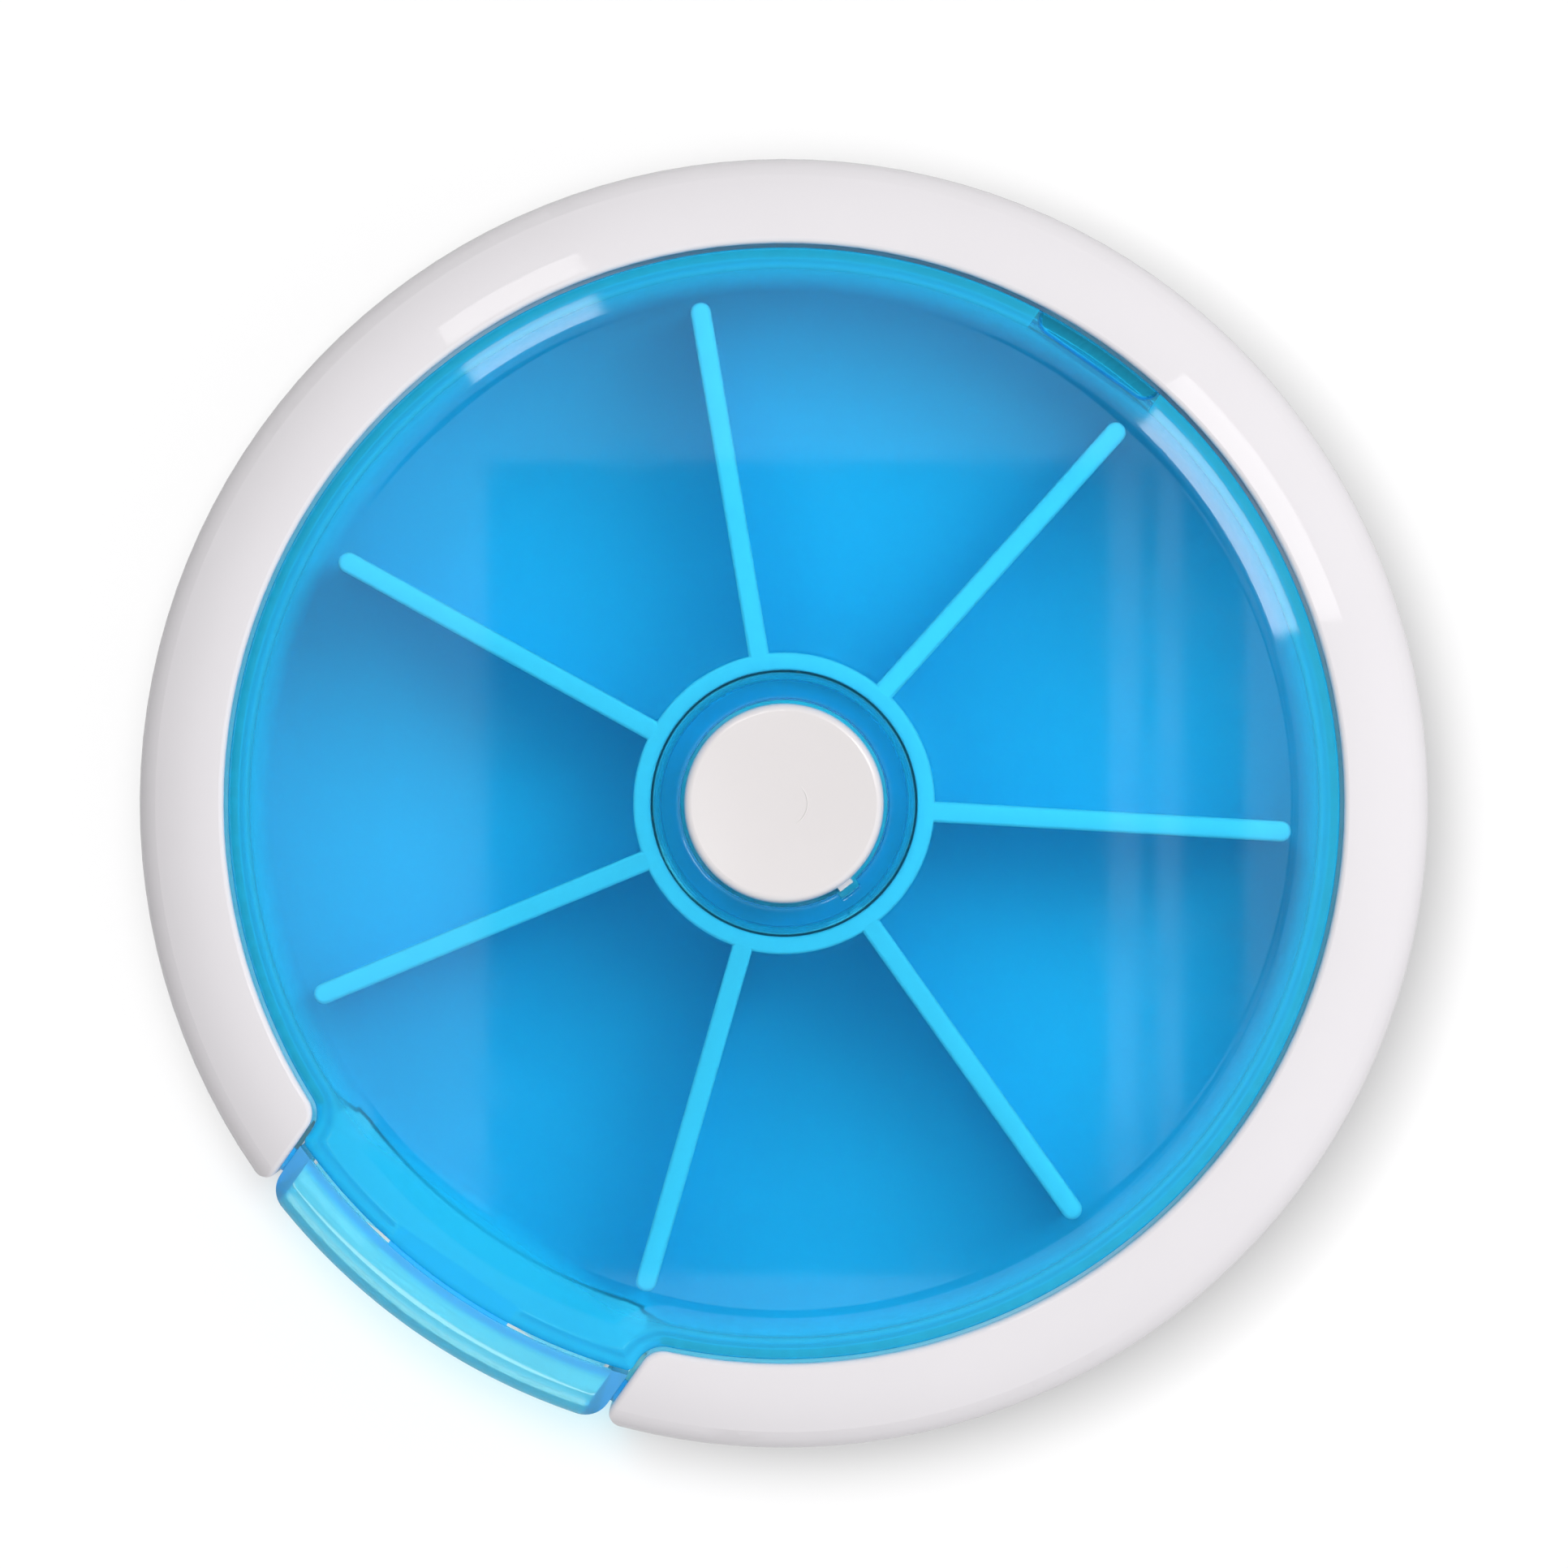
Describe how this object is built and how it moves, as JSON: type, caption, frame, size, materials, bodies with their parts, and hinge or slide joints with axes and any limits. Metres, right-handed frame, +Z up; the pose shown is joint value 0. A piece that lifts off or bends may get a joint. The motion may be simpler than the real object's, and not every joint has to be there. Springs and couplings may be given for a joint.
{
  "type": "weekly pill organizer",
  "caption": "Round desktop pill organizer with a clear lid over a turning compartment tray, a centre push button that advances the tray and a hinged outlet flap.",
  "frame": {"origin": "centre of the foot on the table", "axes": "+Z up, the outlet and its flap at -Y, the nail recess of the lid at +Y"},
  "size_m": [0.088, 0.088, 0.0262],
  "materials": {
    "white_plastic": "moulded white plastic with a fine satin gloss",
    "button_plastic": "moulded white plastic, polished",
    "clear_blue": "clear tinted plastic, polished",
    "clear_light_blue": "clear tinted plastic, polished",
    "tray_plastic": "moulded pale plastic, satin",
    "natural_plastic": "unpigmented slippery bearing plastic",
    "steel": "bright zinc plating"
  },
  "bodies": {
    "case": {"base_shell": "white_plastic", "case_shell": "white_plastic", "case_screws": "steel", "index_spring": "steel", "retaining_washer": "steel", "centre_screw": "steel", "return_spring": "steel"},
    "tray": {"tray": "tray_plastic"},
    "lid": {"lid": "clear_blue"},
    "flap": {"flap": "clear_light_blue"},
    "button": {"button": "button_plastic"},
    "driver": {"drive_sleeve": "natural_plastic", "pawl_ring": "natural_plastic"}
  },
  "joints": [
    {"name": "tray_turn", "type": "hinge", "parent": "case", "child": "tray", "pos_m": [0, 0, 0.0032], "axis": [0, 0, 1], "continuous": true, "deforming": ["index_spring"]},
    {"name": "lid_lift", "type": "slide", "parent": "case", "child": "lid", "axis": [0, 0, 1], "range_m": [0, 0.02]},
    {"name": "flap_hinge", "type": "hinge", "parent": "case", "child": "flap", "pos_m": [0, -0.04, 0.005], "axis": [1, 0, 0], "range_deg": [0, 90]},
    {"name": "button_press", "type": "slide", "parent": "case", "child": "button", "axis": [0, 0, -1], "range_m": [0, 0.0035], "stiffness_N_per_m": 500, "springref_m": -0.003, "deforming": ["return_spring"]},
    {"name": "drive_turn", "type": "hinge", "parent": "case", "child": "driver", "pos_m": [0, 0, 0.007], "axis": [0, 0, 1], "range_deg": [0, 54.2], "deforming": ["pawl_ring"]}
  ],
  "couplings": [
    {"joint": "drive_turn", "follows": "button_press", "rad_per_m": 269.28}
  ]
}
